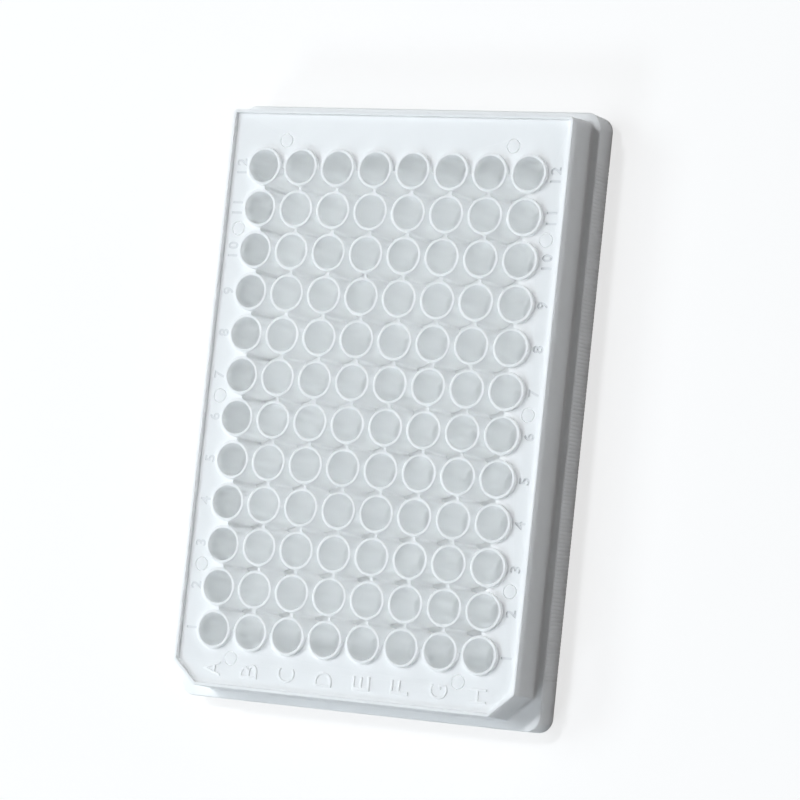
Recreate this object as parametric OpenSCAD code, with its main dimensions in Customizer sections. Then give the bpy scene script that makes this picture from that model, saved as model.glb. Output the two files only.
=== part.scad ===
// Opaque 96-well microplate, moulded as one piece.
// The origin is the centre of the footprint on the bench. +X runs from column 1
// to column 12, +Y from row H to row A, and +Z is up.

/* [Footprint] */
// Length of the foot, along the rows
plate_l = 127.76; // [127:0.01:129]
// Width of the foot, along the columns
plate_w = 85.48; // [85:0.01:87]
// Height from the bench to the rims
plate_h = 14.35; // [14:0.05:16]
// Radius of the foot's four corners
corner_r = 3.18; // [2.5:0.01:4]

/* [Skirt] */
// Height of the skirt's ledge above the bench
skirt_h = 6.1; // [4:0.1:7]
// Wall and ledge thickness of the skirt
skirt_t = 1.3; // [1:0.05:1.6]
// Width of the ledge round the upper wall
ledge_w = 1.9; // [1.6:0.05:2.1]

/* [Upper wall] */
// Distance that each upper wall leans in, from ledge to rim
wall_inset = 0.4; // [0.2:0.05:0.6]
// Thickness of the upper wall below the deck, at its thinner end
wall_t = 1.1; // [0.9:0.05:1.4]
// Thickness of the lip that stands above the deck
lip_t = 0.6; // [0.4:0.05:0.8]
// Radius of the two full corners, at column 12
lip_corner_r = 1; // [0.9:0.1:2]
// Length of the two cut corners at column 1, along the rows
notch_l = 4.9; // [3:0.1:6]
// Length of the two cut corners at column 1, along the columns
notch_w = 5.5; // [3:0.1:6]

/* [Deck] */
// Depth of the deck and of the webs' tops below the rims
deck_drop = 0.95; // [0.5:0.05:2]
// Thickness of the deck
deck_t = 1.2; // [0.8:0.1:1.6]

/* [Wells] */
// Wells in each row, numbered along X
columns = 12; // [6:1:12]
// Wells in each column, lettered along Y
rows = 8; // [4:1:8]
// Distance between neighbouring well centres
pitch = 9; // [8.9:0.05:9.1]
// Inner diameter of a well at its rim
well_d = 6.92; // [6.4:0.02:7.1]
// Inner diameter of a well at its floor
well_floor_d = 6.5; // [5.8:0.02:6.7]
// Depth of a well below its rim
well_depth = 10.9; // [9:0.1:11.5]
// Wall thickness of a well at its rim
rim_t = 0.58; // [0.5:0.02:0.7]
// Extra outer radius of a well at its foot
foot_draft = 0.15; // [0.05:0.01:0.2]
// Chamfer on the inner and outer edges of a rim
rim_chamfer = 0.12; // [0.05:0.01:0.2]

/* [Webs and base] */
// Thickness of the webs that tie the wells of a row
web_t = 0.5; // [0.4:0.05:0.8]
// Thickness of the base that closes the wells
base_t = 1.25; // [1:0.05:1.5]

/* [Hidden] */
$fn = 48;
through = 1;                          // run of a cut past the face that it opens
plastic = [0.93, 0.95, 0.96];

field_l = (columns - 1) * pitch;      // between the outermost well centres
field_w = (rows - 1) * pitch;
deck_z = plate_h - deck_drop;
floor_z = plate_h - well_depth;       // floor of the wells and of the gaps between them
base_z = floor_z - base_t;
wall_l = plate_l - 2 * ledge_w;       // foot of the upper wall
wall_w = plate_w - 2 * ledge_w;
rim_l = wall_l - 2 * wall_inset;      // top of the upper wall
rim_w = wall_w - 2 * wall_inset;
rim_r = well_d / 2 + rim_t;
foot_r = rim_r + foot_draft;

// Centres of all the wells
module at_wells() {
    for (i = [0 : columns - 1], j = [0 : rows - 1])
        translate([i * pitch - field_l / 2, j * pitch - field_w / 2, 0])
            children();
}

// Rectangle with round corners, centred
module rounded(l, w, r) {
    square([l - 2 * r, w], center = true);
    square([l, w - 2 * r], center = true);
    for (x = [-1, 1], y = [-1, 1])
        translate([x * (l / 2 - r), y * (w / 2 - r)])
            circle(r);
}

// Leg a of a slanted corner with legs a and b, once all its sides move in by inset
function inset_leg(a, b, inset) = a - inset * (1 - (norm([a, b]) - a) / b);

// Outline of the upper wall at the rim, moved in by inset
module rim_outline(inset) {
    l = rim_l - 2 * inset;
    w = rim_w - 2 * inset;
    cut_l = inset_leg(notch_l, notch_w, inset);
    cut_w = inset_leg(notch_w, notch_l, inset);
    difference() {
        rounded(l, w, max(lip_corner_r - inset, lip_corner_r / 5));
        for (side = [-1, 1])
            translate([-l / 2, side * w / 2])
                polygon([
                    [cut_l, 0],
                    [cut_l, side * through],
                    [-through, side * through],
                    [-through, -side * cut_w],
                    [0, -side * cut_w]
                ]);
    }
}

// Foot of the plate: a straight-sided skirt with a ledge on top
module skirt() {
    linear_extrude(skirt_h)
        rounded(plate_l, plate_w, corner_r);
}

// Upper wall, which widens evenly from the rim down to the ledge
module upper_wall() {
    translate([0, 0, plate_h])
        mirror([0, 0, 1])
            linear_extrude(plate_h - skirt_h, scale = [wall_l / rim_l, wall_w / rim_w], slices = 1)
                rim_outline(0);
}

// Space under the deck, inside the skirt and the upper wall
module underside() {
    translate([0, 0, -through])
        linear_extrude(through + skirt_h - skirt_t)
            rounded(plate_l - 2 * skirt_t, plate_w - 2 * skirt_t, corner_r - skirt_t);
    linear_extrude(deck_z - deck_t)
        rim_outline(wall_t);
}

// Skirt, upper wall, lip and deck, with the deck open over the field of wells
module shell() {
    difference() {
        union() {
            skirt();
            upper_wall();
        }
        underside();
        translate([0, 0, deck_z])
            linear_extrude(deck_drop + through)
                rim_outline(lip_t);
        translate([-field_l / 2, -field_w / 2, 0])
            cube([field_l, field_w, plate_h]);
    }
}

// One well's outer wall, as a solid post from the base to the rim
module post() {
    rotate_extrude()
        polygon([
            [0, base_z],
            [foot_r, base_z],
            [rim_r, plate_h - rim_chamfer],
            [rim_r - rim_chamfer, plate_h],
            [0, plate_h]
        ]);
}

// One well's inside, open at the rim
module cavity() {
    rotate_extrude()
        polygon([
            [0, floor_z],
            [well_floor_d / 2, floor_z],
            [well_d / 2, plate_h - rim_chamfer],
            [well_d / 2 + rim_chamfer, plate_h],
            [well_d / 2 + rim_chamfer, plate_h + through],
            [0, plate_h + through]
        ]);
}

// Common base, a web along each row of wells, and a wall across each end
module ties() {
    size_l = field_l + web_t;
    size_w = field_w + web_t;
    translate([-size_l / 2, -size_w / 2, base_z])
        cube([size_l, size_w, base_t]);
    for (j = [0 : rows - 1])
        translate([-field_l / 2, j * pitch - size_w / 2, base_z])
            cube([field_l, web_t, deck_z - base_z]);
    for (side = [-1, 1])
        translate([side * field_l / 2 - web_t / 2, -size_w / 2, base_z])
            cube([web_t, size_w, deck_z - base_z]);
}

// The whole moulding
module well_plate() {
    color(plastic)
        difference() {
            union() {
                shell();
                ties();
                at_wells() post();
            }
            at_wells() cavity();
        }
}

well_plate();
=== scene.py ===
"""Looks of an opaque 96-well microplate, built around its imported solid.

The plate is one white polystyrene moulding: a skirt with a ledge, an upper wall
with a lip, a deck, and 8 rows of 12 free-standing wells on a common base. Every
length is in millimetres unless its comment says metres; finish_mesh() turns the
finished plate into metres.
"""
from math import cos, hypot, pi, radians, sin, tau

import bmesh
import bpy
from mathutils import Matrix, Vector


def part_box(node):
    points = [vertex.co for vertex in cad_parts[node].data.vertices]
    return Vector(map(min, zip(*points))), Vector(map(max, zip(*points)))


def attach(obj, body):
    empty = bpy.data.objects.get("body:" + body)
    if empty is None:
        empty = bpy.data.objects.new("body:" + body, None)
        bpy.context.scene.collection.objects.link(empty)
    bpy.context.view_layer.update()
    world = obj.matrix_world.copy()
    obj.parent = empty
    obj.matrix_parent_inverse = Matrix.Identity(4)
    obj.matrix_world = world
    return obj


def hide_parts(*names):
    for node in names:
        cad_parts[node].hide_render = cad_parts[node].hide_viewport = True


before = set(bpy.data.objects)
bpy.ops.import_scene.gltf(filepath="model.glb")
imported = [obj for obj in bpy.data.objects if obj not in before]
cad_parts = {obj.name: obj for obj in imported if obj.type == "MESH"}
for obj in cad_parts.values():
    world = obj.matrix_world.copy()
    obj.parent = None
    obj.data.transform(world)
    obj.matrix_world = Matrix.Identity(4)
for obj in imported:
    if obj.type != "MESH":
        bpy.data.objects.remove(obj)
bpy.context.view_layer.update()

MM = 0.001
NODE = "well_plate"
BODY = "root"

# Overall size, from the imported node
low_corner, high_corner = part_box(NODE)
PLATE_L, PLATE_W, PLATE_H = [
    (high - low) / MM for low, high in zip(low_corner, high_corner)
]

# Skirt, from the bench up to the ledge
SKIRT_H = 6.1
SKIRT_T = 1.3
SKIRT_CORNER_R = 3.18
SKIRT_CORNER_STEPS = 10
LEDGE_W = 1.9
LEDGE_EDGE_R = 0.3

# Upper wall, from the ledge up to the lip; it leans in towards the rim
WALL_INSET = 0.4
WALL_T = 1.1
WALL_FOOT_R = 0.5
WALL_SUNK = 0.3  # run of the wall into the skirt, so that the two join
LIP_T = 0.6
LIP_EDGE_R = 0.16
LIP_FOOT_R = 0.2
LIP_CORNER_R = 1.0  # the two full corners, at column 12
LEAST_CORNER_R = 0.2  # the same corners, far inside the lip
LIP_CORNER_STEPS = 6

# The two cut corners, at column 1
NOTCH_L = 4.9
NOTCH_W = 5.5
NOTCH_EDGE_R = 0.25

# Deck
DECK_DROP = 0.95  # depth below the rims
DECK_T = 1.2
DECK_Z = PLATE_H - DECK_DROP

# Wells
COLUMNS = 12
ROWS = 8
PITCH = 9.0
WELL_R = 3.46
WELL_FLOOR_R = 3.25
WELL_DEPTH = 10.9
WELL_FOOT_R = 1.2  # rounding between a well's wall and its floor
WELL_FOOT_STEPS = 5
WELL_STEPS = 48
RIM_T = 0.58
RIM_OUTER_EDGE_R = 0.16
RIM_INNER_EDGE_R = 0.14
FOOT_DRAFT = 0.15  # growth of a well's outer radius down to the base
FLOOR_Z = PLATE_H - WELL_DEPTH

# Base, and webs that run out into their two wells in hollow curves
BASE_T = 1.25
BASE_Z = FLOOR_Z - BASE_T
WEB_T = 0.5
WEB_END = 0.6  # half the width of a web where it meets the wells
WEB_STEPS = 32

# Raised row letters on the deck
ROW_LETTERS = "HGFEDCBA"
LETTER_RISE = 0.24
LETTER_SLANT = 0.07  # slant round the letters' tops
LETTER_SINK = 0.1  # the part of a letter that runs into the deck
LETTER_H = 4.1
LETTER_W = 3.0
LETTER_X = -57.65
LETTER_SHIFT_Y = -0.2
LETTER_STEPS = 4  # steps along each curve of a letter or number

# Engraved column numbers, deeper beside row H (-1) than beside row A (1)
NUMBER_H = 2.25
NUMBER_SPACING = 1.35
NUMBER_Y = 37.35
NUMBER_DEPTHS = {-1: 0.3, 1: 0.12}
NUMBER_BOLDNESS = 0.09  # growth of the strokes on every side
BOLD_COPIES = 8

# Fine round lines that the ejector pins leave on the deck
PIN_R = 1.45
PIN_STEPS = 32
PIN_LINE_W = 0.3
PIN_LINE_DEPTH = 0.25
PIN_SIDE_X = 36
PIN_SIDE_Y = 36.6
PIN_END_X = 55.25
PIN_END_Y = 27.0
PIN_MARKS = [
    (x, side * PIN_SIDE_Y) for x in (-PIN_SIDE_X, 0, PIN_SIDE_X) for side in (-1, 1)
]
PIN_MARKS += [
    (end * PIN_END_X, side * PIN_END_Y) for end in (-1, 1) for side in (-1, 1)
]

# Fine grip grooves on the long walls of the skirt
GRIP_PITCH = 0.806
GRIP_COUNT = 133
GRIP_W = 0.4
GRIP_DEPTH = 0.12

WALL_L = PLATE_L - 2 * LEDGE_W
WALL_W = PLATE_W - 2 * LEDGE_W
RIM_L = WALL_L - 2 * WALL_INSET
RIM_W = WALL_W - 2 * WALL_INSET
FIELD_L = (COLUMNS - 1) * PITCH  # between the outermost well centres
FIELD_W = (ROWS - 1) * PITCH
PAST = 1.0  # run of a cut past the face that it opens
WELL_CENTRES = [
    (column * PITCH - FIELD_L / 2, row * PITCH - FIELD_W / 2)
    for column in range(COLUMNS)
    for row in range(ROWS)
]

# Modelling
SOFT_STEPS = 3  # steps round a small soft edge
CLOSE = 0.001  # how near a point lies to the height or radius that is asked for
MERGE = 0.0005  # points nearer than this become one
TEXT_MERGE = 0.0001
FINISH_MERGE = 0.002
FLAT_ANGLE = radians(0.3)  # faces that meet flatter than this become one
LETTER_RIM_ANGLE = radians(45)
SHARP_ANGLE = radians(40)  # edges steeper than this stay crisp in the shading
SHADING_WEIGHT = 100  # how far large faces lead the shading of small ones


# ---------------------------------------------------------------- mesh helpers

def verts_of(geometry):
    """The vertices among some vertices, edges and faces."""
    return [part for part in geometry if isinstance(part, bmesh.types.BMVert)]


def raise_face(bm, low, high, spread=(1.0, 1.0)):
    """Raises the flat face of a mesh at height low into a solid up to height high."""
    raised = bmesh.ops.extrude_face_region(bm, geom=bm.faces[:])["geom"]
    corners = verts_of(raised)
    bmesh.ops.scale(bm, verts=corners, vec=(spread[0], spread[1], 1))
    bmesh.ops.translate(bm, verts=corners, vec=(0, 0, high - low))
    bmesh.ops.recalc_face_normals(bm, faces=bm.faces[:])
    return bm


def flat_rectangle(length, width, z):
    """A single rectangular face, centred on the z axis."""
    bm = bmesh.new()
    bmesh.ops.create_grid(bm, x_segments=1, y_segments=1, size=0.5)
    bmesh.ops.scale(bm, verts=bm.verts[:], vec=(length, width, 1))
    bmesh.ops.translate(bm, verts=bm.verts[:], vec=(0, 0, z))
    return bm


def round_corners(bm, corners, radius, steps=SOFT_STEPS):
    """Rounds the corners of a flat face."""
    bmesh.ops.bevel(
        bm, geom=corners, offset=radius, segments=steps, profile=0.5,
        affect="VERTICES", material=-1,
    )


def round_edges(bm, edges, radius, steps=SOFT_STEPS):
    """Rounds edges of a solid, or slants them where steps is 1."""
    bmesh.ops.bevel(
        bm, geom=edges, offset=radius, segments=steps, profile=0.5,
        affect="EDGES", material=-1,
    )


def edges_at(bm, z):
    """Edges that lie flat at height z."""
    return [
        edge for edge in bm.edges
        if all(abs(vert.co.z - z) < CLOSE for vert in edge.verts)
    ]


def to_object(bm, name):
    """Hands a bmesh over to a new object."""
    bmesh.ops.remove_doubles(bm, verts=bm.verts[:], dist=MERGE)
    bmesh.ops.recalc_face_normals(bm, faces=bm.faces[:])
    mesh = bpy.data.meshes.new(name)
    bm.to_mesh(mesh)
    bm.free()
    piece = bpy.data.objects.new(name, mesh)
    bpy.context.scene.collection.objects.link(piece)
    return piece


def combine(piece, other, operation):
    """Joins another solid to a piece, or cuts it away, and removes the other."""
    step = piece.modifiers.new("combine", "BOOLEAN")
    step.operation = operation
    step.solver = "MANIFOLD"
    step.object = other
    graph = bpy.context.evaluated_depsgraph_get()
    result = bpy.data.meshes.new_from_object(piece.evaluated_get(graph))
    piece.modifiers.clear()
    piece.data = result
    bpy.data.objects.remove(other)
    return piece


def join(piece, other):
    """Joins another solid to a piece."""
    return combine(piece, other, "UNION")


def cut(piece, other):
    """Cuts another solid out of a piece."""
    return combine(piece, other, "DIFFERENCE")


def array_at(bm, centres):
    """Copies a mesh made on the z axis to each of the centres."""
    pattern = bm.verts[:] + bm.edges[:] + bm.faces[:]
    first_x, first_y = centres[0]
    for x, y in centres[1:]:
        copy = bmesh.ops.duplicate(bm, geom=pattern)["geom"]
        bmesh.ops.translate(bm, verts=verts_of(copy), vec=(x, y, 0))
    bmesh.ops.translate(bm, verts=verts_of(pattern), vec=(first_x, first_y, 0))
    return bm


def spin_profile(points, steps):
    """Turns a chain of (radius, height) points round the z axis."""
    bm = bmesh.new()
    chain = [bm.verts.new((radius, 0, z)) for radius, z in points]
    edges = [bm.edges.new(pair) for pair in zip(chain, chain[1:])]
    bmesh.ops.spin(
        bm, geom=chain + edges, cent=(0, 0, 0), axis=(0, 0, 1), angle=tau,
        steps=steps, use_merge=True,
    )
    bmesh.ops.remove_doubles(bm, verts=bm.verts[:], dist=MERGE)
    bmesh.ops.recalc_face_normals(bm, faces=bm.faces[:])
    return bm


def circle_edges(bm, radius, z):
    """Edges of the circle with this radius at height z."""
    return [
        edge for edge in edges_at(bm, z)
        if all(abs(vert.co.xy.length - radius) < CLOSE for vert in edge.verts)
    ]


# ---------------------------------------------------------------- the moulding

def skirt_block(inset, low, high):
    """The skirt's outline, moved in by inset, as a solid with a soft top edge."""
    bm = flat_rectangle(PLATE_L - 2 * inset, PLATE_W - 2 * inset, low)
    round_corners(bm, bm.verts[:], SKIRT_CORNER_R - inset, SKIRT_CORNER_STEPS)
    raise_face(bm, low, high)
    round_edges(bm, edges_at(bm, high), LEDGE_EDGE_R)
    return to_object(bm, "skirt_block")


def wall_outline(inset, z):
    """Outline of the upper wall at the rim, moved in by inset, as one flat face."""
    length = RIM_L - 2 * inset
    width = RIM_W - 2 * inset
    bm = flat_rectangle(length, width, z)
    for side in (-1, 1):
        outward = Vector((-NOTCH_W, side * NOTCH_L, 0)).normalized()
        on_cut = Vector((-RIM_L / 2, side * (RIM_W / 2 - NOTCH_W), z))
        bmesh.ops.bisect_plane(
            bm, geom=bm.verts[:] + bm.edges[:] + bm.faces[:],
            plane_co=on_cut - outward * inset, plane_no=outward, clear_outer=True,
        )
    corner_r = max(LIP_CORNER_R - inset, LEAST_CORNER_R)
    full_corners = [vert for vert in bm.verts if vert.co.x > length / 2 - CLOSE]
    round_corners(bm, full_corners, corner_r, LIP_CORNER_STEPS)
    cut_corners = [vert for vert in bm.verts if vert.co.x < 0]
    round_corners(bm, cut_corners, NOTCH_EDGE_R)
    return bm


def upper_block():
    """The leaning upper wall as a solid, with soft edges round its rim."""
    bm = wall_outline(0, PLATE_H)
    raise_face(bm, PLATE_H, SKIRT_H - WALL_SUNK, (WALL_L / RIM_L, WALL_W / RIM_W))
    round_edges(bm, edges_at(bm, PLATE_H), LIP_EDGE_R)
    return to_object(bm, "upper_block")


def walled_space(inset, low, high, name, foot_r=0.0):
    """Space inside the upper wall, between two heights."""
    bm = wall_outline(inset, low)
    raise_face(bm, low, high)
    if foot_r:
        round_edges(bm, edges_at(bm, low), foot_r)
    return to_object(bm, name)


def box(length, width, low, high, name, x=0.0):
    """Plain block between two heights, with its middle at x."""
    bm = raise_face(flat_rectangle(length, width, low), low, high)
    bmesh.ops.translate(bm, verts=bm.verts[:], vec=(x, 0, 0))
    return to_object(bm, name)


def well_tubes():
    """All the wells, each a closed tube with a floor, soft rims and a soft foot."""
    rim_r = WELL_R + RIM_T
    bm = spin_profile([
        (0, BASE_Z),
        (rim_r + FOOT_DRAFT, BASE_Z),
        (rim_r, PLATE_H),
        (WELL_R, PLATE_H),
        (WELL_FLOOR_R, FLOOR_Z),
        (0, FLOOR_Z),
    ], WELL_STEPS)
    round_edges(bm, circle_edges(bm, rim_r, PLATE_H), RIM_OUTER_EDGE_R)
    round_edges(bm, circle_edges(bm, WELL_R, PLATE_H), RIM_INNER_EDGE_R)
    foot = circle_edges(bm, WELL_FLOOR_R, FLOOR_Z)
    round_edges(bm, foot, WELL_FOOT_R, WELL_FOOT_STEPS)
    return to_object(array_at(bm, WELL_CENTRES), "well_tubes")


def well_cores():
    """Plain cores that clear the deck and the webs out of every well's wall."""
    bm = bmesh.new()
    bmesh.ops.create_cone(
        bm, cap_ends=True, segments=WELL_STEPS, radius1=WELL_R + RIM_T / 2,
        radius2=WELL_R + RIM_T / 2, depth=PLATE_H - BASE_Z + 2 * PAST,
    )
    bmesh.ops.translate(bm, verts=bm.verts[:], vec=(0, 0, (PLATE_H + BASE_Z) / 2))
    return to_object(array_at(bm, WELL_CENTRES), "well_cores")


def web_hollow(side, low, high):
    """Round gap on one flank of a web, against the web and both of its wells."""
    bm = bmesh.new()
    to_middle = hypot(PITCH, WEB_T) / 2  # from a well's centre to the flank's middle
    for z in (low, high):
        tube_r = WELL_R + RIM_T + FOOT_DRAFT * (PLATE_H - z) / (PLATE_H - BASE_Z)
        radius = (to_middle ** 2 - tube_r ** 2) / (2 * tube_r - WEB_T)
        ring = bmesh.ops.create_circle(
            bm, cap_ends=False, segments=WEB_STEPS, radius=radius)
        y = side * (WEB_T / 2 + radius)
        bmesh.ops.translate(bm, verts=ring["verts"], vec=(0, y, z))
    edges = bm.edges[:]
    bmesh.ops.bridge_loops(bm, edges=edges)
    bmesh.ops.holes_fill(bm, edges=edges, sides=0)
    return to_object(bm, "web_hollow")


def webs():
    """A short web between neighbouring wells of a row, hollowed on both flanks."""
    web = box(WELL_R, 2 * WEB_END, BASE_Z, DECK_Z, "webs")
    for side in (-1, 1):
        cut(web, web_hollow(side, BASE_Z - PAST, DECK_Z + PAST))
    bm = bmesh.new()
    bm.from_mesh(web.data)
    bpy.data.objects.remove(web)
    middles = [(x + PITCH / 2, y) for x, y in WELL_CENTRES if x < FIELD_L / 2]
    return to_object(array_at(bm, middles), "webs")


def web_walls():
    """Base slab, the webs of all the rows and a wall across each end."""
    tie_l = FIELD_L + WEB_T
    tie_w = FIELD_W + WEB_T
    ties = box(tie_l, tie_w, BASE_Z, FLOOR_Z, "web_walls")
    join(ties, webs())
    for side in (-1, 1):
        join(ties, box(WEB_T, tie_w, BASE_Z, DECK_Z, "end_wall", x=side * FIELD_L / 2))
    return ties


def characters(words, x, y, low, high, height, width=0.0, spacing=1.0):
    """Plain upright characters as a solid between two heights, their tops to +Y."""
    letters = bpy.data.curves.new("characters", "FONT")
    letters.body = words
    letters.align_x = "CENTER"
    letters.resolution_u = LETTER_STEPS
    letters.space_character = spacing
    holder = bpy.data.objects.new("characters", letters)
    flat = bpy.data.meshes.new_from_object(holder)
    bpy.data.objects.remove(holder)
    bpy.data.curves.remove(letters)
    bm = bmesh.new()
    bm.from_mesh(flat)
    bpy.data.meshes.remove(flat)
    bmesh.ops.remove_doubles(bm, verts=bm.verts[:], dist=TEXT_MERGE)
    lowest = min(vert.co.y for vert in bm.verts)
    highest = max(vert.co.y for vert in bm.verts)
    left = min(vert.co.x for vert in bm.verts)
    right = max(vert.co.x for vert in bm.verts)
    grow = height / (highest - lowest)
    widen = width / (right - left) if width else grow
    middle = Vector(((left + right) / 2, (lowest + highest) / 2, 0))
    bmesh.ops.translate(bm, verts=bm.verts[:], vec=-middle)
    bmesh.ops.scale(bm, verts=bm.verts[:], vec=(widen, grow, 1))
    bmesh.ops.translate(bm, verts=bm.verts[:], vec=(x, y, low))
    return raise_face(bm, low, high)


def raised_letter(letter, y):
    """One row letter, slanted round its top and sunk a little into the deck."""
    top = DECK_Z + LETTER_RISE
    bm = characters(letter, LETTER_X, y, DECK_Z - LETTER_SINK, top, LETTER_H, LETTER_W)
    bmesh.ops.dissolve_limit(
        bm, angle_limit=FLAT_ANGLE, verts=bm.verts[:], edges=bm.edges[:])
    rim = [
        edge for edge in edges_at(bm, top)
        if edge.calc_face_angle() > LETTER_RIM_ANGLE
    ]
    round_edges(bm, rim, LETTER_SLANT, 1)
    return to_object(bm, "raised_letter")


def number_cutter():
    """All the column numbers, made bold by joining copies shifted all round."""
    thin = bmesh.new()
    for column in range(COLUMNS):
        for side, depth in NUMBER_DEPTHS.items():
            number = characters(
                str(column + 1), column * PITCH - FIELD_L / 2, side * NUMBER_Y,
                DECK_Z - depth, DECK_Z + depth, NUMBER_H, spacing=NUMBER_SPACING)
            mesh = bpy.data.meshes.new("number")
            number.to_mesh(mesh)
            number.free()
            thin.from_mesh(mesh)
            bpy.data.meshes.remove(mesh)
    numbers = to_object(thin.copy(), "numbers")
    for step in range(BOLD_COPIES):
        way = step * tau / BOLD_COPIES
        shifted = thin.copy()
        bmesh.ops.translate(
            shifted, verts=shifted.verts[:],
            vec=(NUMBER_BOLDNESS * cos(way), NUMBER_BOLDNESS * sin(way), 0),
        )
        join(numbers, to_object(shifted, "shifted"))
    thin.free()
    return numbers


def pin_marks():
    """Ring-shaped cutter with a V section for every pin mark."""
    bm = spin_profile([
        (PIN_R - PIN_LINE_W / 2, DECK_Z),
        (PIN_R, DECK_Z - PIN_LINE_DEPTH),
        (PIN_R + PIN_LINE_W / 2, DECK_Z),
        (PIN_R, DECK_Z + PIN_LINE_DEPTH),
        (PIN_R - PIN_LINE_W / 2, DECK_Z),
    ], PIN_STEPS)
    return to_object(array_at(bm, PIN_MARKS), "pin_marks")


def grip_grooves(side):
    """Upright V grooves along one long wall of the skirt, open at both ends."""
    bm = bmesh.new()
    bmesh.ops.create_cone(
        bm, cap_ends=True, segments=4, radius1=GRIP_W / 2, radius2=GRIP_W / 2,
        depth=SKIRT_H + 2 * PAST,
    )
    bmesh.ops.scale(bm, verts=bm.verts[:], vec=(1, 2 * GRIP_DEPTH / GRIP_W, 1))
    bmesh.ops.translate(bm, verts=bm.verts[:], vec=(0, 0, SKIRT_H / 2))
    first = -(GRIP_COUNT - 1) / 2 * GRIP_PITCH
    y = side * PLATE_W / 2
    array_at(bm, [(first + step * GRIP_PITCH, y) for step in range(GRIP_COUNT)])
    return to_object(bm, "grip_grooves")


def add_marks(piece):
    """Row letters, column numbers on both sides, and the pin marks."""
    for row, letter in enumerate(ROW_LETTERS):
        y = row * PITCH - FIELD_W / 2 + LETTER_SHIFT_Y
        join(piece, raised_letter(letter, y))
    cut(piece, number_cutter())
    return cut(piece, pin_marks())


def soften_wall_foot(piece):
    """Fills the corner between the ledge and the upper wall with a small curve."""
    bm = bmesh.new()
    bm.from_mesh(piece.data)
    foot = [edge for edge in edges_at(bm, SKIRT_H) if not edge.is_convex]
    round_edges(bm, foot, WALL_FOOT_R)
    bm.to_mesh(piece.data)
    bm.free()


def make_plate():
    """The whole moulding as one closed mesh."""
    plate = skirt_block(0, 0, SKIRT_H)
    join(plate, upper_block())
    soften_wall_foot(plate)
    cut(plate, skirt_block(SKIRT_T, -PAST, SKIRT_H - SKIRT_T))
    cut(plate, walled_space(WALL_T, -PAST, DECK_Z - DECK_T, "under_deck"))
    cut(plate, walled_space(
        LIP_T, DECK_Z, PLATE_H + PAST, "lip_recess", LIP_FOOT_R))
    cut(plate, box(FIELD_L, FIELD_W, -PAST, PLATE_H, "field"))
    join(plate, web_walls())
    cut(plate, well_cores())
    join(plate, well_tubes())
    for side in (-1, 1):
        cut(plate, grip_grooves(side))
    add_marks(plate)
    plate.name = plate.data.name = "plate_moulding"
    return plate


def finish_mesh(piece):
    """Cleans a finished piece, brings it to metres and shades it."""
    bm = bmesh.new()
    bm.from_mesh(piece.data)
    bmesh.ops.remove_doubles(bm, verts=bm.verts[:], dist=FINISH_MERGE)
    bmesh.ops.dissolve_limit(
        bm, angle_limit=FLAT_ANGLE, verts=bm.verts[:], edges=bm.edges[:])
    bmesh.ops.scale(bm, verts=bm.verts[:], vec=(MM, MM, MM))
    for face in bm.faces:
        face.smooth = True
    bm.to_mesh(piece.data)
    bm.free()
    piece.data.set_sharp_from_angle(angle=SHARP_ANGLE)
    weights = piece.modifiers.new("even shading", "WEIGHTED_NORMAL")
    weights.keep_sharp = True
    weights.weight = SHADING_WEIGHT
    return piece


plate = finish_mesh(make_plate())
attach(plate, BODY)
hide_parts(NODE)

# ---------------------------------------------------------------- finish

# Every finish: name, tone, smoothest and roughest roughness, height of the grain
FINISHES = [
    ("satin_white_plastic", (0.991, 0.9925, 0.9915, 1), 0.54, 0.64, 0.02),
    # The wells' finish: a smoother skin, and a darker tone that is painted shade
    # inside the wells
    ("smooth_well_plastic_painted_shade", (0.968, 0.972, 0.971, 1), 0.42, 0.5, 0.008),
    # The numbers' finish: a rougher skin, and a much darker tone that is painted shade
    # in the engraved grooves
    ("number_groove_painted_shade", (0.86, 0.865, 0.87, 1), 0.64, 0.72, 0.03),
]
# The wells' and the numbers' finishes both carry painted shade in their darker tones
WELL_SHADE_FINISH, NUMBER_SHADE_FINISH = 1, 2  # places in FINISHES; the first is for the rest

# What all the finishes share
GLOSS = 0.3
TRANSLUCENCY = 0.7
TRANSLUCENCY_REACH = 1.8  # how far light spreads inside the plastic
CLOUD_SIZE, CLOUD_FLOOR = 18, 0.994
SPECK_SIZE, SPECK_FLOOR = 0.6, 0.994
PATCH_SIZE = 6
GRAIN_SIZE = 0.22
GRAIN_STRENGTH = 0.5
WAVE_SIZE, WAVE_SHARE = 5, 1.5
NOISE_LOW, NOISE_HIGH = 0.3, 0.7  # the middle of a noise, which holds most of it

# Where the finishes of the wells and the numbers, with their painted shade, begin and
# end
BORE_MARGIN = 0.02
FLOOR_MARGIN = 0.01
RIM_MARGIN = 0.1
PIN_MARGIN = 0.3
NUMBER_MARGIN_X = 3
NUMBER_MARGIN_Y = 0.15
NUMBER_TOP, NUMBER_BOTTOM = DECK_Z - 0.01, DECK_Z - 0.35


def shader_group(name, inputs, outputs):
    """An empty shader node group with named sockets and its two end nodes."""
    group = bpy.data.node_groups.new(name, "ShaderNodeTree")
    for label, kind, value in inputs:
        socket = group.interface.new_socket(label, in_out="INPUT", socket_type=kind)
        if value is not None:
            socket.default_value = value
    for label, kind in outputs:
        group.interface.new_socket(label, in_out="OUTPUT", socket_type=kind)
    return group, group.nodes.new("NodeGroupInput"), group.nodes.new("NodeGroupOutput")


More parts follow.
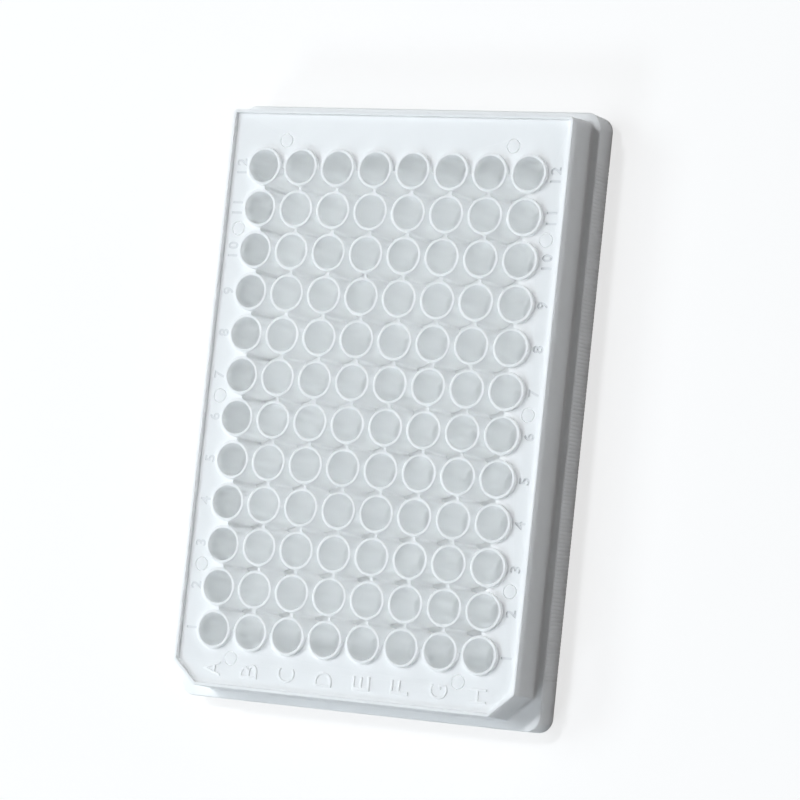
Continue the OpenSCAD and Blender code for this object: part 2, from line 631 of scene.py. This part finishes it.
def noise_layer(group, given, size_label, detail, roughness=0.5):
    """Noise whose features are as long as the group's size input says, in metres."""
    per_metre = group.nodes.new("ShaderNodeMath")
    per_metre.operation = "DIVIDE"
    per_metre.inputs[0].default_value = 1.0
    noise = group.nodes.new("ShaderNodeTexNoise")
    noise.inputs["Detail"].default_value = detail
    noise.inputs["Roughness"].default_value = roughness
    group.links.new(given.outputs[size_label], per_metre.inputs[1])
    group.links.new(per_metre.outputs[0], noise.inputs["Scale"])
    group.links.new(given.outputs["Vector"], noise.inputs["Vector"])
    return noise.outputs["Fac"]


def mapped(group, value, low, high):
    """Spreads the middle of a noise over a range; low and high may be sockets."""
    spread = group.nodes.new("ShaderNodeMapRange")
    spread.inputs["From Min"].default_value = NOISE_LOW
    spread.inputs["From Max"].default_value = NOISE_HIGH
    group.links.new(value, spread.inputs["Value"])
    for label, end in (("To Min", low), ("To Max", high)):
        if isinstance(end, (int, float)):
            spread.inputs[label].default_value = end
        else:
            group.links.new(end, spread.inputs[label])
    return spread.outputs["Result"]


def combined(group, operation, first, second):
    """Result of a Math node; first and second are numbers or sockets."""
    step = group.nodes.new("ShaderNodeMath")
    step.operation = operation
    for socket, value in zip(step.inputs, (first, second)):
        if isinstance(value, (int, float)):
            socket.default_value = value
        else:
            group.links.new(value, socket)
    return step.outputs[0]


def pigment_clouds_group():
    """Slight unevenness of the pigment: broad clouds, and fine specks over them."""
    group, given, put_out = shader_group(
        "pigment_clouds",
        [("Vector", "NodeSocketVector", None),
         ("Tone", "NodeSocketColor", (0.9, 0.9, 0.9, 1)),
         ("Cloud Size", "NodeSocketFloat", 0.02),
         ("Cloud Floor", "NodeSocketFloat", 0.99),
         ("Speck Size", "NodeSocketFloat", 0.001),
         ("Speck Floor", "NodeSocketFloat", 0.99)],
        [("Color", "NodeSocketColor")],
    )
    clouds = noise_layer(group, given, "Cloud Size", detail=3)
    specks = noise_layer(group, given, "Speck Size", detail=2)
    shade = combined(
        group, "MULTIPLY",
        mapped(group, clouds, given.outputs["Cloud Floor"], 1.0),
        mapped(group, specks, given.outputs["Speck Floor"], 1.0),
    )
    tint = group.nodes.new("ShaderNodeVectorMath")
    tint.operation = "SCALE"
    group.links.new(given.outputs["Tone"], tint.inputs[0])
    group.links.new(shade, tint.inputs["Scale"])
    group.links.new(tint.outputs[0], put_out.inputs["Color"])
    return group


def satin_patches_group():
    """Roughness that wanders between two values, as the mould's polish does."""
    group, given, put_out = shader_group(
        "satin_patches",
        [("Vector", "NodeSocketVector", None),
         ("Patch Size", "NodeSocketFloat", 0.01),
         ("Smoothest", "NodeSocketFloat", 0.5),
         ("Roughest", "NodeSocketFloat", 0.6)],
        [("Roughness", "NodeSocketFloat")],
    )
    patches = noise_layer(group, given, "Patch Size", detail=4, roughness=0.6)
    group.links.new(
        mapped(group, patches, given.outputs["Smoothest"], given.outputs["Roughest"]),
        put_out.inputs["Roughness"],
    )
    return group


def mould_grain_group():
    """Fine spark-eroded grain over a faint, longer waviness of the skin."""
    group, given, put_out = shader_group(
        "mould_grain",
        [("Vector", "NodeSocketVector", None),
         ("Grain Size", "NodeSocketFloat", 0.0002),
         ("Wave Size", "NodeSocketFloat", 0.004),
         ("Wave Share", "NodeSocketFloat", 0.5)],
        [("Height", "NodeSocketFloat")],
    )
    grain = noise_layer(group, given, "Grain Size", detail=2)
    waves = noise_layer(group, given, "Wave Size", detail=1)
    height = combined(
        group, "ADD", grain,
        combined(group, "MULTIPLY", waves, given.outputs["Wave Share"]),
    )
    group.links.new(height, put_out.inputs["Height"])
    return group


def place_group(material, group, values):
    """Puts a node group into a material, on Object coordinates, with its values."""
    nodes, links = material.node_tree.nodes, material.node_tree.links
    node = nodes.new("ShaderNodeGroup")
    node.node_tree = group
    for label, value in values.items():
        node.inputs[label].default_value = value
    where = nodes.get("Texture Coordinate") or nodes.new("ShaderNodeTexCoord")
    links.new(where.outputs["Object"], node.inputs["Vector"])
    return node


def white_plastic(groups, name, tone, smoothest, roughest, grain_height):
    """White pigmented polystyrene: a bright, slightly translucent skin."""
    material = bpy.data.materials.new(name)
    material.use_nodes = True
    nodes, links = material.node_tree.nodes, material.node_tree.links
    skin = nodes["Principled BSDF"]
    skin.inputs["Specular IOR Level"].default_value = GLOSS
    skin.inputs["Subsurface Weight"].default_value = TRANSLUCENCY
    skin.inputs["Subsurface Radius"].default_value = (1.0, 1.0, 1.0)
    skin.inputs["Subsurface Scale"].default_value = TRANSLUCENCY_REACH * MM
    pigment = place_group(material, groups["pigment_clouds"], {
        "Tone": tone,
        "Cloud Size": CLOUD_SIZE * MM, "Cloud Floor": CLOUD_FLOOR,
        "Speck Size": SPECK_SIZE * MM, "Speck Floor": SPECK_FLOOR,
    })
    links.new(pigment.outputs["Color"], skin.inputs["Base Color"])
    satin = place_group(material, groups["satin_patches"], {
        "Patch Size": PATCH_SIZE * MM, "Smoothest": smoothest, "Roughest": roughest,
    })
    links.new(satin.outputs["Roughness"], skin.inputs["Roughness"])
    grain = place_group(material, groups["mould_grain"], {
        "Grain Size": GRAIN_SIZE * MM,
        "Wave Size": WAVE_SIZE * MM, "Wave Share": WAVE_SHARE,
    })
    bump = nodes.new("ShaderNodeBump")
    bump.inputs["Strength"].default_value = GRAIN_STRENGTH
    bump.inputs["Distance"].default_value = grain_height * MM
    links.new(grain.outputs["Height"], bump.inputs["Height"])
    links.new(bump.outputs["Normal"], skin.inputs["Normal"])
    return material


def inside_a_well(point):
    """Whether a point of the plate, in metres, lies on a well's wall or floor."""
    x, y, z = point / MM
    off_x = (x + FIELD_L / 2 + PITCH / 2) % PITCH - PITCH / 2
    off_y = (y + FIELD_W / 2 + PITCH / 2) % PITCH - PITCH / 2
    in_field = abs(x) < FIELD_L / 2 + WELL_R and abs(y) < FIELD_W / 2 + WELL_R
    in_bore = hypot(off_x, off_y) < WELL_R + BORE_MARGIN
    in_depth = FLOOR_Z - FLOOR_MARGIN < z < PLATE_H - RIM_MARGIN
    return in_field and in_bore and in_depth


def inside_a_number(point):
    """Whether a point of the plate, in metres, lies in an engraved column number."""
    x, y, z = point / MM
    in_line = (
        abs(abs(y) - NUMBER_Y) < NUMBER_H / 2 + NUMBER_MARGIN_Y
        and abs(x) < FIELD_L / 2 + NUMBER_MARGIN_X
    )
    in_pin_mark = any(
        hypot(x - pin_x, y - pin_y) < PIN_R + PIN_MARGIN for pin_x, pin_y in PIN_MARKS
    )
    return NUMBER_BOTTOM < z < NUMBER_TOP and in_line and not in_pin_mark


finish_groups = {
    "pigment_clouds": pigment_clouds_group(),
    "satin_patches": satin_patches_group(),
    "mould_grain": mould_grain_group(),
}
plate.data.materials.clear()
for finish in FINISHES:
    plate.data.materials.append(white_plastic(finish_groups, *finish))
# Faces in the wells and in the number grooves get darker tones, which are painted
# shade in these hollows
for face in plate.data.polygons:
    if inside_a_well(face.center):
        face.material_index = WELL_SHADE_FINISH
    elif inside_a_number(face.center):
        face.material_index = NUMBER_SHADE_FINISH

# ---------------------------------------------------------------- studio

scene = bpy.context.scene
scene.view_settings.view_transform = "Standard"

# Camera: what it looks at and where it stands, its lens, and its turn on its own
# axis, in degrees, which brings column 12 to the top
CAMERA_AIM = (1.373, -7.306, PLATE_H)
CAMERA_PLACE = (-55.856, -361.002, 652.475 + PLATE_H)
CAMERA_LENS = 161.9397
CAMERA_FILM_W = 36
CAMERA_TURN = -75.892
CAMERA_NEAR, CAMERA_FAR = 0.05, 20  # in metres

# Floor: its tone for the light that it throws back, and how it is seen
WHITE = (1, 1, 1, 1)
FLOOR_REACH = 4  # from its middle to its edges, in metres
FLOOR_ROUGHNESS = 0.9
FLOOR_TONE = (0.68, 0.68, 0.68, 1)
FLOOR_SEEN_TONE = (0.3, 0.3, 0.3, 1)
FLOOR_SEEN_GLOW = 0.72
MIX_COLOUR_A, MIX_COLOUR_B, MIX_COLOUR_RESULT = 6, 7, 2  # sockets of a Mix node

# Softboxes: name, azimuth from +X, elevation, width and height in metres, level and
# colour. Levels that add up to 1 overhead show a colour as it is written.
LAMP_DISTANCE = 2.0  # in metres
SOFTBOXES = [
    ("key", 50, 65, (0.16, 0.16), 0.38, (0.93, 0.965, 1.0)),
    ("top", 130, 66, (0.6, 0.5), 0.14, (0.93, 0.965, 1.0)),
    ("back", 82, 42, (0.9, 0.5), 0.355, (0.88, 0.965, 1.0)),
    ("side_strip", 115, 12, (1.0, 0.3), 0.09, (0.91, 0.97, 1.0)),
    ("end_strip", 150, 38, (0.6, 0.4), 0.3, (0.82, 0.92, 1.0)),
    ("front_strip", 297, 12, (1.0, 0.3), 0.14, (1.0, 0.975, 0.97)),
]

# Light passes through the thin walls and from well to well many times
MOST_BOUNCES = 48
DIFFUSE_BOUNCES = 24


def add_camera():
    """Looks down on the plate from beyond row H, turned so that column 12 is up."""
    aim = Vector(CAMERA_AIM) * MM
    place = Vector(CAMERA_PLACE) * MM
    data = bpy.data.cameras.new("camera")
    data.sensor_width = CAMERA_FILM_W
    data.lens = CAMERA_LENS
    data.clip_start = CAMERA_NEAR
    data.clip_end = CAMERA_FAR
    camera = bpy.data.objects.new("camera", data)
    scene.collection.objects.link(camera)
    view = (aim - place).to_track_quat("-Z", "Y").to_matrix().to_4x4()
    turn = Matrix.Rotation(radians(CAMERA_TURN), 4, "Z")
    camera.matrix_world = Matrix.Translation(place) @ view @ turn
    scene.camera = camera


def seen_directly(nodes, links):
    """1 for rays from the camera and for what gloss or glass shows, otherwise 0."""
    rays = nodes.new("ShaderNodeLightPath")
    either = nodes.new("ShaderNodeMath")
    either.operation = "MAXIMUM"
    links.new(rays.outputs["Is Camera Ray"], either.inputs[0])
    links.new(rays.outputs["Is Glossy Ray"], either.inputs[1])
    result = nodes.new("ShaderNodeMath")
    result.operation = "MAXIMUM"
    links.new(either.outputs[0], result.inputs[0])
    links.new(rays.outputs["Is Transmission Ray"], result.inputs[1])
    return result.outputs[0]


def add_floor():
    """White floor that keeps a faint shadow where it is seen directly."""
    bm = bmesh.new()
    bmesh.ops.create_grid(bm, x_segments=1, y_segments=1, size=FLOOR_REACH)
    mesh = bpy.data.meshes.new("floor")
    bm.to_mesh(mesh)
    bm.free()
    floor = bpy.data.objects.new("floor", mesh)
    scene.collection.objects.link(floor)
    material = bpy.data.materials.new("white_floor")
    material.use_nodes = True
    nodes, links = material.node_tree.nodes, material.node_tree.links
    card = nodes["Principled BSDF"]
    card.inputs["Roughness"].default_value = FLOOR_ROUGHNESS
    card.inputs["Specular IOR Level"].default_value = 0.0
    card.inputs["Emission Color"].default_value = WHITE
    seen = seen_directly(nodes, links)
    tone = nodes.new("ShaderNodeMix")
    tone.data_type = "RGBA"
    tone.inputs[MIX_COLOUR_A].default_value = FLOOR_TONE
    tone.inputs[MIX_COLOUR_B].default_value = FLOOR_SEEN_TONE
    links.new(seen, tone.inputs["Factor"])
    links.new(tone.outputs[MIX_COLOUR_RESULT], card.inputs["Base Color"])
    glow = nodes.new("ShaderNodeMath")
    glow.operation = "MULTIPLY"
    glow.inputs[1].default_value = FLOOR_SEEN_GLOW
    links.new(seen, glow.inputs[0])
    links.new(glow.outputs[0], card.inputs["Emission Strength"])
    mesh.materials.append(material)


def add_softbox(name, azimuth, elevation, size, level, colour):
    """A soft lamp that faces the plate from LAMP_DISTANCE."""
    around, up = radians(azimuth), radians(elevation)
    way = Vector((cos(up) * cos(around), cos(up) * sin(around), sin(up)))
    data = bpy.data.lights.new(name, "AREA")
    data.shape = "RECTANGLE"
    data.size, data.size_y = size
    data.energy = level * pi ** 2 * LAMP_DISTANCE ** 2
    data.color = colour
    lamp = bpy.data.objects.new(name, data)
    scene.collection.objects.link(lamp)
    turn = way.to_track_quat("Z", "Y").to_matrix().to_4x4()
    lamp.matrix_world = Matrix.Translation(way * LAMP_DISTANCE) @ turn
    lamp.visible_camera = False


def add_world():
    """Background that is seen as white and throws no light on the plate."""
    world = bpy.data.worlds.new("studio")
    scene.world = world
    world.use_nodes = True
    nodes, links = world.node_tree.nodes, world.node_tree.links
    sky = nodes["Background"]
    sky.inputs["Color"].default_value = WHITE
    links.new(seen_directly(nodes, links), sky.inputs["Strength"])


add_camera()
add_floor()
add_world()
for softbox in SOFTBOXES:
    add_softbox(*softbox)
scene.cycles.max_bounces = MOST_BOUNCES
scene.cycles.diffuse_bounces = DIFFUSE_BOUNCES
